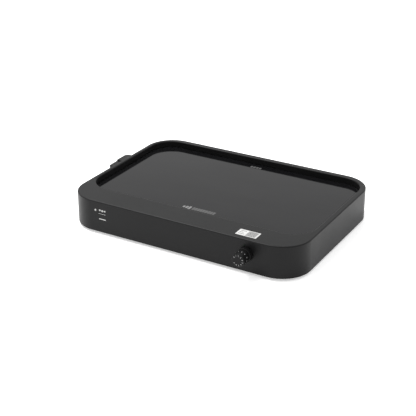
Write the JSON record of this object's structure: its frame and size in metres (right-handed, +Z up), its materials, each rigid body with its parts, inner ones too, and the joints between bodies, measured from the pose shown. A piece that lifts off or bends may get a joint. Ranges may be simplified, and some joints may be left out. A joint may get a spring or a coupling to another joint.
{
  "type": "hot plate burner",
  "caption": "Low rectangular electric hot plate: a black housing with a recessed glass cooking surface, a thermostat knob on its front and a power inlet at the side.",
  "frame": {"origin": "on the surface it stands on, under the middle of the object's box, knob and inlet included", "axes": "+X along the long side, the power inlet being at -X; -Y towards the user, where the knob is; +Z up"},
  "size_m": [0.432, 0.3252, 0.058],
  "materials": {
    "housing": "fine-grained satin black",
    "knob_plastic": "smooth satin black",
    "glass_top": "opaque black glass-ceramic, gloss",
    "silicone": "matt black silicone",
    "base_steel": "black powder coat",
    "foot_rubber": "matt black rubber",
    "steel": "zinc-plated steel",
    "aluminium": "rolled aluminium",
    "insulation": "mica sheet and ceramic fibre",
    "heating_alloy": "resistance alloy ribbon",
    "moulded_case": "cream moulded case",
    "brass": "plain brass",
    "copper": "copper tube",
    "lens": "dark green tinted lens, unlit",
    "wire_cover": "silicone wire insulation"
  },
  "bodies": {
    "appliance": {"upper_housing": "housing", "glass_panel": "glass_top", "glass_seal": "silicone", "base_pan": "base_steel", "foot_1": "foot_rubber", "foot_2": "foot_rubber", "foot_3": "foot_rubber", "foot_4": "foot_rubber", "base_screw_1": "steel", "base_screw_2": "steel", "base_screw_3": "steel", "base_screw_4": "steel", "heat_spreader": "aluminium", "mica_sheet_upper": "insulation", "mica_sheet_lower": "insulation", "heating_ribbon_left": "heating_alloy", "heating_ribbon_right": "heating_alloy", "insulation_blanket": "insulation", "heater_tray": "steel", "cross_bar_left": "steel", "cross_bar_right": "steel", "pressure_spring_1": "steel", "pressure_spring_2": "steel", "pressure_spring_3": "steel", "pressure_spring_4": "steel", "bar_screw_1": "steel", "bar_screw_2": "steel", "bar_screw_3": "steel", "bar_screw_4": "steel", "thermostat_body": "moulded_case", "thermostat_nut": "brass", "thermostat_bracket": "steel", "bracket_screw_1": "steel", "bracket_screw_2": "steel", "sensor_bulb": "copper", "capillary_tube": "copper", "bulb_clip": "steel", "dial_collar": "knob_plastic", "indicator_lens": "lens", "indicator_lamp": "lens", "inlet_housing": "housing", "inlet_pin_live": "brass", "inlet_pin_neutral": "brass", "inlet_pin_earth": "brass", "inlet_screw_1": "steel", "inlet_screw_2": "steel", "terminal_block": "moulded_case", "wire_live_supply": "wire_cover", "wire_neutral_supply": "wire_cover", "wire_earth": "wire_cover", "wire_thermostat_feed": "wire_cover", "wire_heater_live": "wire_cover", "wire_heater_neutral": "wire_cover", "earth_screw": "brass", "thermal_cutoff": "moulded_case", "cutoff_clip": "steel"},
    "control": {"knob": "knob_plastic", "control_shaft": "steel", "knob_clip": "steel"}
  },
  "joints": [
    {"name": "knob_turn", "type": "hinge", "parent": "appliance", "child": "control", "pos_m": [0.1312, -0.13745, 0.034], "axis": [0, 1, 0], "range_deg": [0, 285]}
  ]
}
